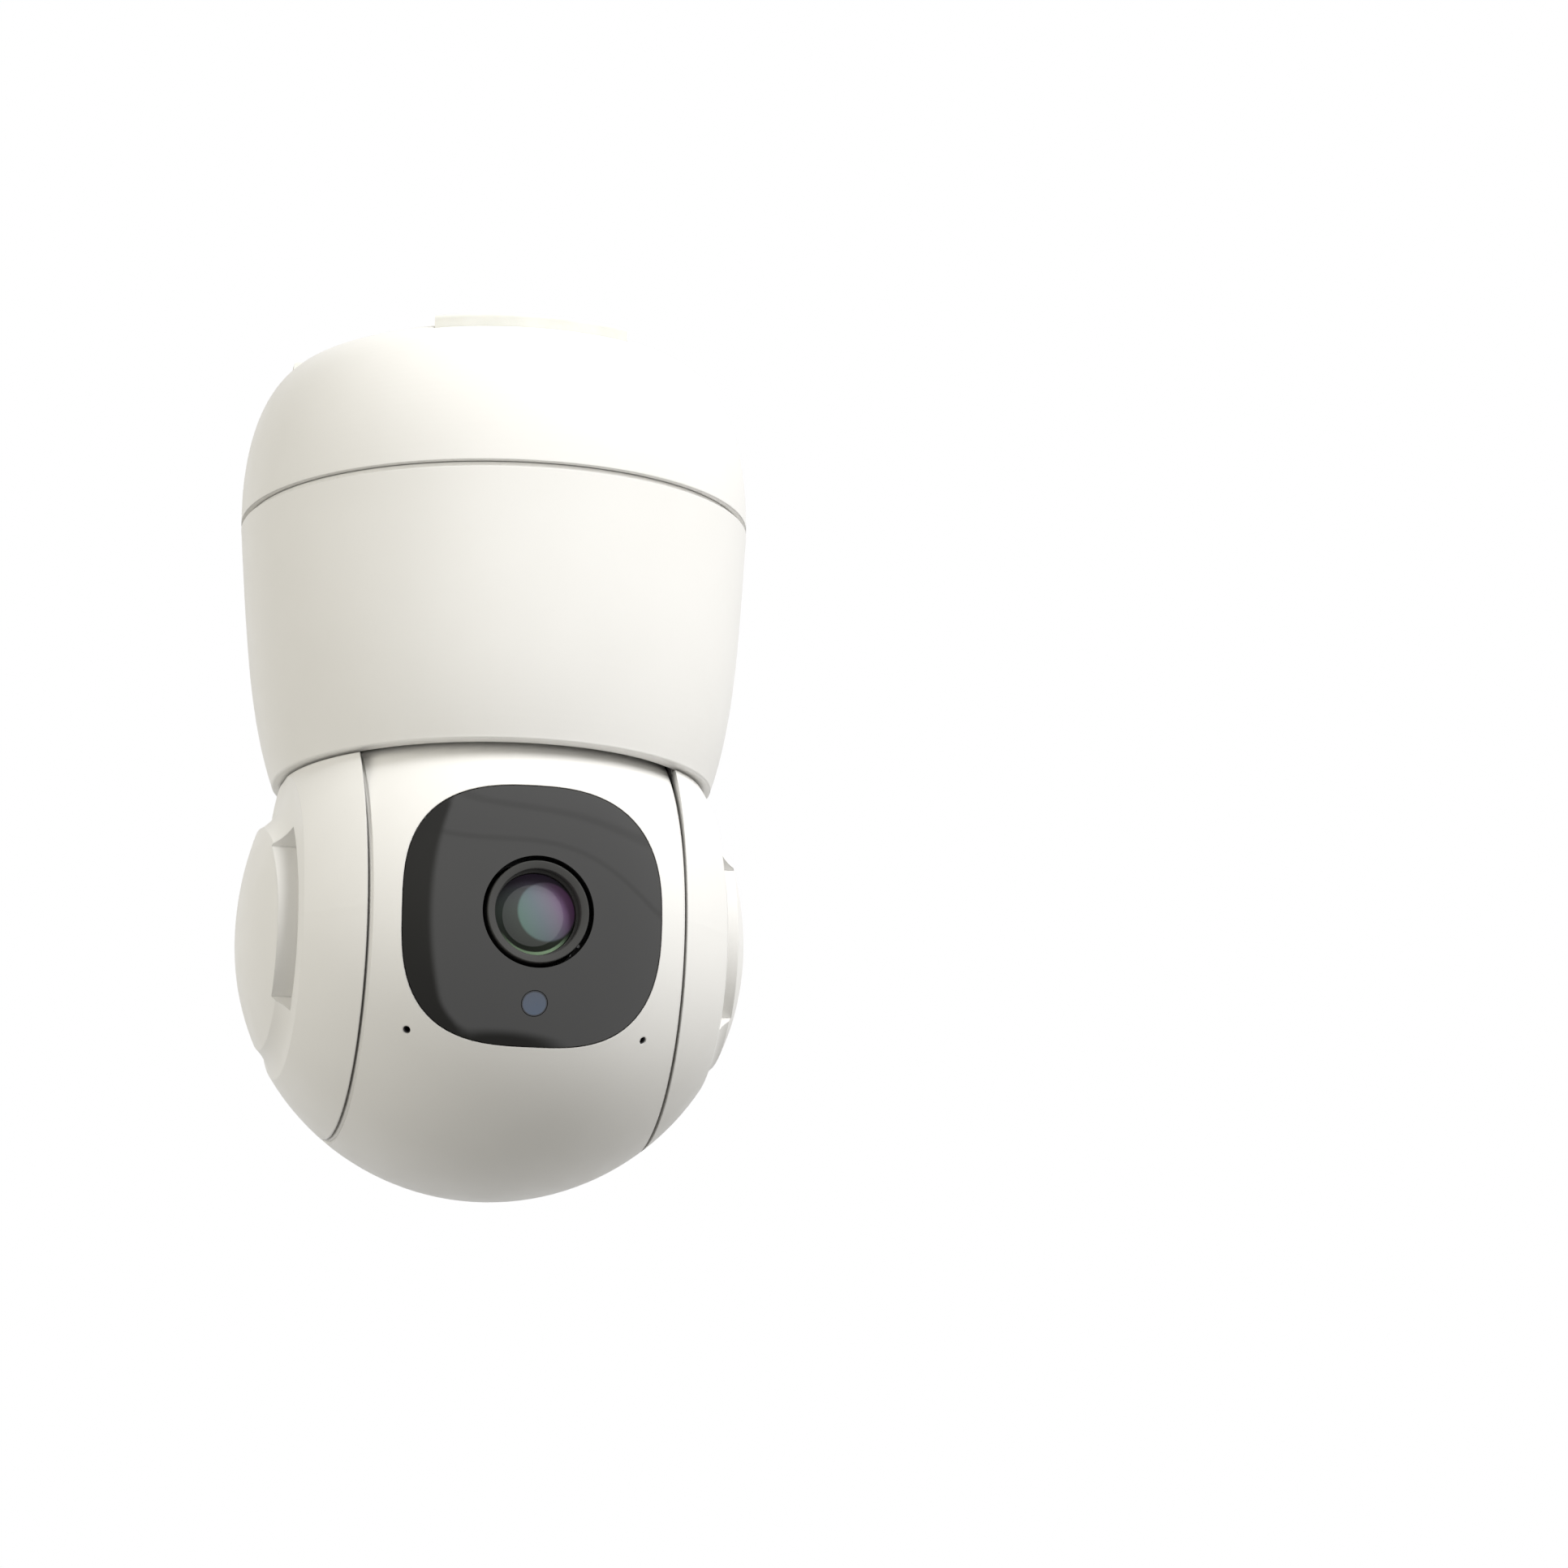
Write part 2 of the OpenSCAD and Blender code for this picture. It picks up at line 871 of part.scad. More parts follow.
// ring about the tilt axis; angle 0 faces the lens side
module tilt_arc(r0, r1, x0, x1, span) {
    rotate([180 - span / 2, 0, 0])
        rotate([0, 90, 0])
            rotate([0, 0, 90])
                rotate_extrude(angle = span)
                    translate([r0, x0])
                        square([r1 - r0, x1 - x0]);
}

module cover() {
    at_head()
        difference() {
            union() {
                difference() {
                    cover_solid();
                    cover_hollow();
                }
                intersection() {
                    cover_solid();
                    tilt_arc(slot_in - slot_wall, slot_out + slot_wall, slot_floor_x - slot_wall, 40,
                             slot_span + 12);
                }
                for (s = [-1, 1])
                    intersection() {
                        cover_solid();
                        along_x()
                            translate([0, s * cover_boss_at, arm_x1 + 0.02])
                                cylinder(r = cover_boss_r, h = 20);
                    }
            }
            // shallow groove round the raised disc
            along_x()
                rotate_extrude()
                    translate([(head_r + groove_out) * sin(groove_angle),
                               (head_r + groove_out) * cos(groove_angle)])
                        circle(r = groove_r);
            tilt_arc(slot_in, slot_out, slot_floor_x, 45, slot_span);
            // room for the arm inside the tongue
            translate([side_seam - 1, -arm_half - 0.3, rim_above_head - 2])
                cube([arm_x1 - side_seam + 1.4, 2 * arm_half + 0.6, 6]);
            for (s = [-1, 1])
                along_x()
                    translate([0, s * cover_boss_at, arm_x1 - 1])
                        cylinder(r = cover_screw_r, h = 7);
        }
}

module right_cover() {
    color(white)
        cover();
}

module left_cover() {
    color(white)
        mirror([1, 0, 0])
            cover();
}

module cover_screws() {
    color(steel)
    at_head()
        for (side = [0, 1], s = [-1, 1])
            mirror([side, 0, 0])
                translate([arm_x0 + 1.18, 0, s * 10.6])
                    rotate([0, -90, 0])
                        small_screw(0.8, 6.6, 1.9, 1);
}

// lead bundle: from the main board down a channel in the left arm, then along the tilt axis
cable_r = 1.1;
lead_y = 5.2;
lead_arm_x = -(arm_x0 + arm_t / 2);
lead_out_x = -(arm_x1 + 2.9);
lead_end_x = -14;
lead_route = [[-21, lead_y, board_z + 2.2], [lead_arm_x, lead_y, board_z + 2.2],
              [lead_arm_x, lead_y, head_z + 20],
              [lead_out_x, lead_y, head_z + 14], [lead_out_x, lead_y, head_z + 4], [lead_out_x, 0, head_z]];

// a round bar between two points
module bar(p, q, r) {
    d = q - p;
    translate(p)
        rotate([0, acos(d[2] / norm(d)), atan2(d[1], d[0])])
            cylinder(r = r, h = norm(d));
}

module head_cable() {
    color(black) {
        for (i = [1:len(lead_route) - 1]) {
            bar(lead_route[i - 1], lead_route[i], cable_r);
            translate(lead_route[i])
                sphere(r = cable_r + 0.08);
        }
        translate([lead_out_x, 0, head_z])
            rotate([0, 90, 0])
                cylinder(r = cable_r, h = lead_end_x - lead_out_x);
    }
}

// ---- head ----

edge_cut = 0.35;        // bevel on the edges at the side seams

// the ball between its two side seams, with bevelled edges
module head_outer() {
    rim_at = sqrt(pow(head_r, 2) - pow(head_half, 2));
    along_x()
        rotate_extrude($fn = 160)
            difference() {
                intersection() {
                    circle(r = head_r, $fn = 160);
                    translate([0, -head_half])
                        square([head_r, 2 * head_half]);
                }
                for (s = [-1, 1])
                    translate([rim_at, s * head_half])
                        rotate(20 * s)
                            square(2 * edge_cut, center = true);
            }
}

module head_cavity() {
    intersection() {
        sphere(r = head_r - wall, $fn = 160);
        translate([-wall_x, -60, -60])
            cube([2 * wall_x, 120, 120]);
    }
}

function squircle(half, steps) = [for (i = [0:steps - 1])
    let (t = 360 * i / steps)
    [half * sign(cos(t)) * pow(abs(cos(t)), 2 / window_power),
     half * sign(sin(t)) * pow(abs(sin(t)), 2 / window_power)]];

module window_prism(grow) {
    forwards()
        translate([0, 0, 20])
            linear_extrude(25)
                polygon(squircle(window_w / 2 + grow, 80));
}

module trunnion_bosses() {
    for (side = [0, 1])
        mirror([side, 0, 0])
            along_x()
                translate([0, 0, wall_x - 0.8])
                    cylinder(r = 9.2, h = side_wall + 0.8 - 0.1);
}

module mic_axis(s) {
    angle_side = atan2(s * mic_side, sqrt(pow(head_r, 2) - pow(mic_side, 2) - pow(mic_down, 2)));
    angle_down = asin(mic_down / head_r);
    rotate([0, 0, angle_side])
        rotate([90 + angle_down, 0, 0])
            children();
}

module head_front_shell() {
    color(white)
    in_head()
        difference() {
            union() {
                difference() {
                    head_outer();
                    head_cavity();
                }
                trunnion_bosses();
                intersection() {
                    window_prism(2);
                    difference() {
                        sphere(r = head_r - wall + 0.2, $fn = 160);
                        sphere(r = head_r - wall - 1.2, $fn = 160);
                    }
                }
            }
            translate([-60, split_y, -60])
                cube([120, 60, 120]);
            intersection() {
                window_prism(window_gap);
                difference() {
                    sphere(r = head_r + 5, $fn = 96);
                    sphere(r = head_r - window_out - window_t - 0.1, $fn = 160);
                }
            }
            window_prism(-1.6);
            along_x()
                translate([0, 0, -60])
                    cylinder(r = 7.62, h = 120);
            for (s = [-1, 1])
                mic_axis(s) {
                    translate([0, 0, 30])
                        cylinder(r = mic_hole_r, h = 12, $fn = 32);
                    translate([0, 0, 30])
                        cylinder(r = 2.35, h = head_r - wall - 30.3);
                }
        }
}

module head_rear_shell() {
    color(white)
    in_head() {
        difference() {
            head_outer();
            head_cavity();
            translate([-60, split_y + eps - 120, -60])
                cube([120, 120, 120]);
        }
        // the lip that clips into the front shell
        difference() {
            intersection() {
                sphere(r = head_r - wall + 0.1, $fn = 160);
                translate([-wall_x + 0.1, split_y - 3, -60])
                    cube([2 * wall_x - 0.2, 3.2, 120]);
            }
            sphere(r = head_r - wall - 1.2, $fn = 160);
            difference() {
                sphere(r = head_r, $fn = 96);
                sphere(r = head_r - wall - 0.1, $fn = 160);
                translate([-60, split_y + eps, -60])
                    cube(120);
            }
        }
    }
}

module tilt_bushes() {
    color(gear_white)
    in_head()
        for (side = [0, 1])
            mirror([side, 0, 0])
                along_x()
                    difference() {
                        union() {
                            translate([0, 0, wall_x - 0.8])
                                cylinder(r = 7.6, h = side_wall + 0.8);
                            translate([0, 0, head_half + 0.02])
                                cylinder(r = 9.2, h = 0.7);
                            translate([0, 0, head_half - 0.2])
                                cylinder(r = 7.6, h = 0.4);
                        }
                        cylinder(r = trunnion_r + fit, h = 60);
                    }
}

module sensor_dot_axis() {
    rotate([90 + sensor_dot_angle, 0, 0])
        children();
}

module front_window() {
    color(window_grey)
    in_head()
        difference() {
            intersection() {
                sphere(r = head_r - window_out, $fn = 160);
                window_prism(0);
            }
            sphere(r = head_r - window_out - window_t, $fn = 160);
            forwards()
                cylinder(r = lens_opening_d / 2, h = 60);
            sensor_dot_axis()
                cylinder(r = sensor_dot_r + 0.1, h = 60);
        }
}

module lens_bezel() {
    color(black)
    in_head()
        forwards()
            rotate_extrude()
                polygon([[bezel_in, bezel_back], [bezel_out, bezel_back], [bezel_out, bezel_front - 0.25],
                         [bezel_out - 0.25, bezel_front], [bezel_out - 0.45, bezel_front],
                         [bezel_throat, bezel_front - 1.25], [bezel_throat, bezel_front - 2.25],
                         [bezel_in, bezel_front - 2.45]]);
}

module lens_barrel() {
    color("#1c1c1e")
    in_head()
        forwards()
            difference() {
                union() {
                    translate([0, 0, 17.02])
                        cylinder(r = barrel_rear_r, h = 12);
                    translate([0, 0, 25])
                        cylinder(r = barrel_r, h = 11.4);
                }
                translate([0, 0, 33.8])
                    cylinder(r = 6.3, h = 5);
                translate([0, 0, 16])
                    cylinder(r = 3.2, h = 22);
            }
}

module lens_glass() {
    color("#5a6e78", 0.6)
    in_head()
        forwards()
            intersection() {
                translate([0, 0, 33.82])
                    cylinder(r = element_r, h = 4);
                translate([0, 0, element_centre])
                    sphere(r = element_curve, $fn = 128);
            }
}

module lens_holder() {
    color(black)
    in_head()
        forwards()
            difference() {
                translate([-9, -8, 11.02])
                    cube([18, 16, 6]);
                translate([0, 0, 10])
                    cylinder(r = 3.4, h = 8);
                translate([-8.2, -4.2, 12.8])
                    cube([18.2, 8.4, 1.6]);
                translate([-3.4, -3, 10])
                    cube([6.8, 6, 2.2]);
            }
}

module ir_cut_filter() {
    color("#7fb0a8")
    in_head()
        forwards()
            translate([-7.6, -4, 13])
                cube([11, 8, 1.2]);
}

module sensor_board() {
    color(board_green)
    in_head()
        forwards()
            difference() {
                union() {
                    translate([0, 0, 9.8])
                        linear_extrude(board_t)
                            rounded_rect(31, 34, 3);
                    translate([-13, -13, 7])
                        cube([10, 6, 2.9]);
                    translate([lead_end_x + 0.03, -3, -1.6])
                        cube([3.5, 6, 11.5]);
                }
                for (x = [-1, 1], y = [-1, 1])
                    translate([x * 12.8, y * 14, 5])
                        cylinder(r = 1.2, h = 10);
            }
}

module image_sensor() {
    color("#2a3350")
    in_head()
        forwards()
            translate([-3, -2.6, 11.02])
                cube([6, 5.2, 0.9]);
}

ir_ring = 13.4;
module ir_board() {
    color("#182018")
    in_head()
        forwards()
            translate([0, 0, 29.6])
                difference() {
                    cylinder(r = 18.6, h = board_t);
                    translate([0, 0, -1])
                        cylinder(r = 8.4, h = 4);
                }
}

module ir_leds() {
    color("#b9b3c6")
    in_head()
        forwards()
            for (a = [0:60:300])
                rotate([0, 0, a])
                    translate([ir_ring, 0, 29.6 + board_t + 0.02]) {
                        translate([-1.7, -1.7, 0])
                            cube([3.4, 3.4, 0.8]);
                        translate([0, 0, 0.7])
                            cylinder(r = 1.3, h = 0.9);
                    }
}

module light_pipe() {
    color("#5f6d82")
    in_head()
        sensor_dot_axis()
            intersection() {
                translate([0, 0, 33.9])
                    cylinder(r = sensor_dot_r, h = 10);
                rotate([-sensor_dot_angle, 0, 0])
                    sphere(r = head_r - window_out - 0.05, $fn = 128);
            }
}

module microphones() {
    color(black)
    in_head()
        for (s = [-1, 1])
            mic_axis(s)
                translate([0, 0, head_r - wall - 2.2])
                    difference() {
                        cylinder(r = 2.2, h = 1.8);
                        translate([0, 0, 1.2])
                            cylinder(r = 0.6, h = 1);
                    }
}

// tilt motor, its bracket and its pinion sit behind and above the tilt axis
motor_dir = 45;
module at_tilt_motor() {
    in_head()
        along_x()
            translate([tilt_reach * cos(motor_dir), tilt_reach * sin(motor_dir), 0])
                children();
}

bracket_x = 14.5;
module motor_bracket() {
    color(inner_white)
    in_head()
        along_x()
            difference() {
                union() {
                    translate([tilt_reach * cos(motor_dir), tilt_reach * sin(motor_dir), bracket_x]) {
                        cylinder(r = 9, h = 1.4);
                        translate([0, 0, 0.7])
                            rotate([0, 0, motor_dir + 90])
                                cube([31, 7, 1.4], center = true);
                        rotate([0, 0, motor_dir + 90])
                            for (s = [-1, 1])
                                translate([s * 15.5, 0, 0])
                                    cylinder(r = 3.5, h = 1.4);
                    }
                    rotate([0, 0, motor_dir + 90])
                        translate([15.5, -tilt_reach, bracket_x])
                            cylinder(r = 2.6, h = wall_x - bracket_x - 0.02);
                }
                translate([tilt_reach * cos(motor_dir), tilt_reach * sin(motor_dir), bracket_x - 1]) {
                    cylinder(r = 5.8, h = 5);
                    rotate([0, 0, motor_dir + 90])
                        for (s = [-1, 1])
                            translate([s * 15.5, 0, 0])
                                cylinder(r = 1.2, h = 4);
                }
            }
}

module tilt_motor() {
    color(steel)
    at_tilt_motor()
        translate([0, 0, bracket_x - 0.02])
            motor(motor_dir + 90);
}

module tilt_pinion() {
    color(gear_white)
    at_tilt_motor() {
        translate([0, 0, gear_x0 - 0.3])
            linear_extrude(gear_t + 0.6)
                gear_outline(pinion_teeth);
        translate([0, 0, bracket_x - 3.5])
            cylinder(r = 0.95, h = 6);
    }
}

// ---- what is drawn ----

mounting_plate();
base_cap();
bayonet_cup();
foot_pads();
pivot_bush();
pivot_washer();
pan_gear();
power_board();
power_socket();
body_shell();
chassis();
chassis_screws();
pivot_screw();
pan_motor();
pan_pinion();
main_board();
heatsink();
speaker();
wifi_antenna();
trunnion_left();
trunnion_right();
tilt_gear();
left_cover();
right_cover();
cover_screws();
head_cable();
head_front_shell();
head_rear_shell();
tilt_bushes();
front_window();
lens_bezel();
lens_barrel();
lens_glass();
lens_holder();
ir_cut_filter();
sensor_board();
image_sensor();
ir_board();
ir_leds();
light_pipe();
microphones();
motor_bracket();
tilt_motor();
tilt_pinion();
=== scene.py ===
"""Pan-and-tilt camera under its ceiling plate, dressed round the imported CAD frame."""
import json
import math

import bmesh
import bpy
from mathutils import Matrix, Vector


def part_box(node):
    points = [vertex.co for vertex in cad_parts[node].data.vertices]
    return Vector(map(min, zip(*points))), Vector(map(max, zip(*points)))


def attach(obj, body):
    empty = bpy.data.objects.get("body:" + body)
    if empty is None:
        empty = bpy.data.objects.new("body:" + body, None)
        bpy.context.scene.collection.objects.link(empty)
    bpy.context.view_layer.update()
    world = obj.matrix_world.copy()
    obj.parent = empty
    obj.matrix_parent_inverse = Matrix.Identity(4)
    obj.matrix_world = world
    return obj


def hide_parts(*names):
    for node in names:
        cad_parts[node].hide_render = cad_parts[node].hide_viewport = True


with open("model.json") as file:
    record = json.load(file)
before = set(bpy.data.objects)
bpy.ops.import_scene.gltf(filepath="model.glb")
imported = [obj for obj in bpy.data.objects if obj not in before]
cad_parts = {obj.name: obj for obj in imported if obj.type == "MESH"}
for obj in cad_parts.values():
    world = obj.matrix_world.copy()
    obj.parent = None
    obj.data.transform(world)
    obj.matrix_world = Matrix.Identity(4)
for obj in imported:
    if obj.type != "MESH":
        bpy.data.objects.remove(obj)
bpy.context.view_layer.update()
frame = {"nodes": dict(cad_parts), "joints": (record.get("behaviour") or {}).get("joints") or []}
NODES = frame["nodes"]
MM = 0.001

# ---- places that come from the record and the CAD boxes ----
joints = {j["name"]: j for j in frame["joints"]}
HEAD = Vector(joints["tilt"]["pos_m"])            # centre of the head
LENS_TILT = math.radians(3.5)                     # the lens looks this far down at rest
FORWARD = Vector((0, -math.cos(LENS_TILT), -math.sin(LENS_TILT)))
UPWARD = Vector((0, -math.sin(LENS_TILT), math.cos(LENS_TILT)))
SIDE = UPWARD.cross(FORWARD)
DOT_ANGLE = math.radians(20.3)                    # the light sensor looks this far below the lens
DOT_FACE_R = 39.6 * MM                            # the sensor dot's face, from the head's centre
DOT_FACE_Z = (HEAD + (FORWARD * math.cos(DOT_ANGLE) - UPWARD * math.sin(DOT_ANGLE)) * DOT_FACE_R).z
LENS = Matrix((                                   # turns a part about z into one about the lens axis
    (SIDE.x, UPWARD.x, FORWARD.x, HEAD.x),
    (SIDE.y, UPWARD.y, FORWARD.y, HEAD.y),
    (SIDE.z, UPWARD.z, FORWARD.z, HEAD.z),
    (0, 0, 0, 1),
))


# ---- node helpers ----
class Shader:
    """A material's node tree with short calls."""

    def __init__(self, name):
        self.material = bpy.data.materials.new(name)
        self.material.use_nodes = True
        self.tree = self.material.node_tree
        self.bsdf = self.tree.nodes["Principled BSDF"]
        self.place = self.node("ShaderNodeTexCoord").outputs["Object"]

    def node(self, kind, **settings):
        made = self.tree.nodes.new(kind)
        for key, value in settings.items():
            if key in made.inputs:
                made.inputs[key].default_value = value
            else:
                setattr(made, key, value)
        return made

    def link(self, a, b):
        self.tree.links.new(a, b)

    def noise(self, scale, detail=3.0, roughness=0.55, place=None):
        made = self.node("ShaderNodeTexNoise", Scale=scale, Detail=detail, Roughness=roughness)
        self.link(place or self.place, made.inputs["Vector"])
        return made.outputs["Fac"]

    def ramp(self, value, stops):
        made = self.node("ShaderNodeValToRGB")
        ramp = made.color_ramp
        while len(ramp.elements) < len(stops):
            ramp.elements.new(0.5)
        for element, (at, colour) in zip(ramp.elements, stops):
            element.position = at
            element.color = (*colour, 1)
        self.link(value, made.inputs["Fac"])
        return made.outputs["Color"]

    def span(self, value, low, high, a=0.0, b=1.0, smooth=False):
        made = self.node("ShaderNodeMapRange")
        made.interpolation_type = "SMOOTHSTEP" if smooth else "LINEAR"
        for at, number in ((1, low), (2, high), (3, a), (4, b)):
            made.inputs[at].default_value = number
        self.link(value, made.inputs[0])
        return made.outputs[0]

    def mix(self, fac, a, b):
        made = self.node("ShaderNodeMix", data_type="RGBA")
        for at, value in ((0, fac), (6, a), (7, b)):
            if isinstance(value, bpy.types.NodeSocket):
                self.link(value, made.inputs[at])
            elif at == 0:
                made.inputs[at].default_value = value
            else:
                made.inputs[at].default_value = (*value, 1)
        return made.outputs[2]

    def math(self, operation, a, b=0.0):
        made = self.node("ShaderNodeMath", operation=operation)
        for at, value in enumerate((a, b)):
            if isinstance(value, bpy.types.NodeSocket):
                self.link(value, made.inputs[at])
            else:
                made.inputs[at].default_value = value
        return made.outputs[0]

    def length(self, a, b):
        """Length of the two numbers taken as the sides of a right angle."""
        return self.math("SQRT", self.math("ADD", self.math("MULTIPLY", a, a), self.math("MULTIPLY", b, b)))

    def bump(self, height, distance, strength, under=None):
        made = self.node("ShaderNodeBump", Strength=strength, Distance=distance)
        self.link(height, made.inputs["Height"])
        if under is not None:
            self.link(under, made.inputs["Normal"])
        return made.outputs["Normal"]

    def set(self, **sockets):
        for key, value in sockets.items():
            socket = self.bsdf.inputs[key.replace("_", " ")]
            if isinstance(value, bpy.types.NodeSocket):
                self.link(value, socket)
            else:
                socket.default_value = value
        return self


def moulded(name, light, dark, rough, grain=0.00035, depth=0.000012, ior=1.46, gloss=0.5, soft=0.0):
    """Moulded plastic: fine spark-eroded grain, faint flow shading, roughness that drifts."""
    s = Shader(name)
    cloud = s.noise(34.0, 4.0)
    flow = s.noise(9.0, 2.0)
    tone = s.math("ADD", s.math("MULTIPLY", cloud, 0.6), s.math("MULTIPLY", flow, 0.4))
    colour = s.mix(s.span(tone, 0.35, 0.65), dark, light)
    speck = s.span(s.noise(1400.0, 1.0), 0.62, 0.75, 0.0, 0.05)
    colour = s.mix(speck, colour, tuple(c * 0.9 for c in dark))
    fine = s.noise(1 / grain, 2.0, 0.6)
    wide = s.noise(60.0, 2.0)
    under = None
    if soft:
        under = s.node("ShaderNodeBevel", samples=4, Radius=soft).outputs["Normal"]
    normal = s.bump(fine, depth, 0.35, under)
    normal = s.bump(wide, 0.00003, 0.12, normal)
    rub = s.noise(220.0, 3.0)
    s.set(
        Base_Color=colour,
        Roughness=s.span(rub, 0.3, 0.7, rough - 0.04, rough + 0.05),
        Normal=normal,
        IOR=ior,
        Specular_IOR_Level=gloss,
    )
    return s.material


def metal(name, light, dark, rough, brushed=(1.0, 1.0, 1.0), scratch=0.00001):
    """Metal with fine tool marks along one direction and slightly uneven tone."""
    s = Shader(name)
    stretch = s.node("ShaderNodeMapping")
    stretch.inputs["Scale"].default_value = brushed
    s.link(s.place, stretch.inputs["Vector"])
    marks = s.noise(900.0, 4.0, 0.7, stretch.outputs["Vector"])
    cloud = s.noise(120.0, 3.0)
    colour = s.mix(s.span(cloud, 0.3, 0.7), dark, light)
    s.set(
        Base_Color=colour,
        Metallic=1.0,
        Roughness=s.span(marks, 0.3, 0.7, rough - 0.06, rough + 0.1),
        Normal=s.bump(marks, scratch, 0.5),
    )
    return s.material


# ---- materials ----
WHITE = moulded("satin_white_plastic", (0.87, 0.865, 0.85), (0.835, 0.828, 0.81), 0.42, soft=0.0003)
PLATE = moulded("plate_white_plastic", (0.90, 0.90, 0.89), (0.86, 0.86, 0.85), 0.5, 0.0005, 0.00002)
INNER = moulded("inner_plastic", (0.60, 0.59, 0.56), (0.52, 0.51, 0.49), 0.55, 0.0006, 0.00003)
GEAR = moulded("acetal_gear", (0.80, 0.77, 0.68), (0.74, 0.71, 0.62), 0.38, 0.0008, 0.00002)
BLACK = moulded("black_plastic", (0.030, 0.030, 0.032), (0.016, 0.016, 0.018), 0.45, 0.0004, 0.00002)
STEEL = metal("bright_steel", (0.62, 0.62, 0.63), (0.50, 0.50, 0.52), 0.28)
DARK_STEEL = metal("blackened_steel", (0.10, 0.10, 0.105), (0.055, 0.055, 0.06), 0.34)
MOTOR = metal("motor_can", (0.58, 0.59, 0.60), (0.46, 0.47, 0.49), 0.3, (1.0, 1.0, 14.0))
FINS = metal("heatsink_metal", (0.68, 0.69, 0.71), (0.58, 0.59, 0.61), 0.36, (10.0, 1.0, 1.0))
COPPER = metal("antenna_copper", (0.72, 0.40, 0.22), (0.60, 0.31, 0.16), 0.32)


def rubber():
    """Soft pale pad rubber with a fine grit."""
    s = Shader("pad_rubber")
    grit = s.noise(2600.0, 2.0, 0.7)
    cloud = s.noise(160.0, 3.0)
    s.set(
        Base_Color=s.mix(s.span(cloud, 0.3, 0.7), (0.76, 0.765, 0.72), (0.84, 0.84, 0.80)),
        Roughness=s.span(grit, 0.2, 0.8, 0.55, 0.8),
        Normal=s.bump(grit, 0.00003, 0.6),
        Subsurface_Weight=0.15,
        Subsurface_Scale=0.001,
    )
    s.bsdf.inputs["Subsurface Radius"].default_value = (1.0, 0.9, 0.7)
    return s.material


def board(name, mask, bare):
    """Printed board: solder mask over copper tracks, with plated pads."""
    s = Shader(name)
    tracks = s.node("ShaderNodeTexBrick", offset=0.5, squash=1.0)
    tracks.inputs["Scale"].default_value = 260.0
    tracks.inputs["Mortar Size"].default_value = 0.05
    tracks.inputs["Color1"].default_value = (*mask, 1)
    tracks.inputs["Color2"].default_value = (*[c * 0.86 for c in mask], 1)
    tracks.inputs["Mortar"].default_value = (*[min(1.0, c * 1.7 + 0.01) for c in mask], 1)
    s.link(s.place, tracks.inputs["Vector"])
    dots = s.node("ShaderNodeTexVoronoi", feature="F1", Scale=520.0)
    s.link(s.place, dots.inputs["Vector"])
    pad = s.span(dots.outputs["Distance"], 0.16, 0.2, 1.0, 0.0)
    s.set(
        Base_Color=s.mix(pad, tracks.outputs["Color"], bare),
        Metallic=s.math("MULTIPLY", pad, 0.9),
        Roughness=s.span(s.noise(700.0), 0.3, 0.7, 0.3, 0.45),
        Normal=s.bump(tracks.outputs["Fac"], 0.00003, 0.4),
    )
    return s.material


GREEN_BOARD = board("circuit_board", (0.012, 0.085, 0.042), (0.75, 0.62, 0.32))
BLACK_BOARD = board("black_board", (0.012, 0.012, 0.014), (0.70, 0.70, 0.72))


def smoke_window():
    """Smoke-tinted window: dark body colour, polished, with very faint swirl marks."""
    s = Shader("window_smoke")
    cloud = s.noise(50.0, 2.0)
    hair = s.noise(2200.0, 2.0, 0.7)
    s.set(
        Base_Color=s.mix(s.span(cloud, 0.3, 0.7), (0.028, 0.028, 0.028), (0.032, 0.032, 0.0315)),
        Roughness=s.span(hair, 0.3, 0.7, 0.03, 0.055),
        Normal=s.bump(cloud, 0.000004, 0.2),
        IOR=1.6,
        Specular_IOR_Level=0.5,
    )
    return s.material


LENS_FACE = 36.5 * MM                             # mid-height of the front element's dome, from the head
PAINTED_REFLECTION_R = 4.5 * MM                               # the round painted reflection off the coating and its place on the element
PAINTED_REFLECTION_SIDE, PAINTED_REFLECTION_UP = 1.7 * MM, 0.4 * MM
PAINTED_REFLECTION_EDGE = 0.22 * MM


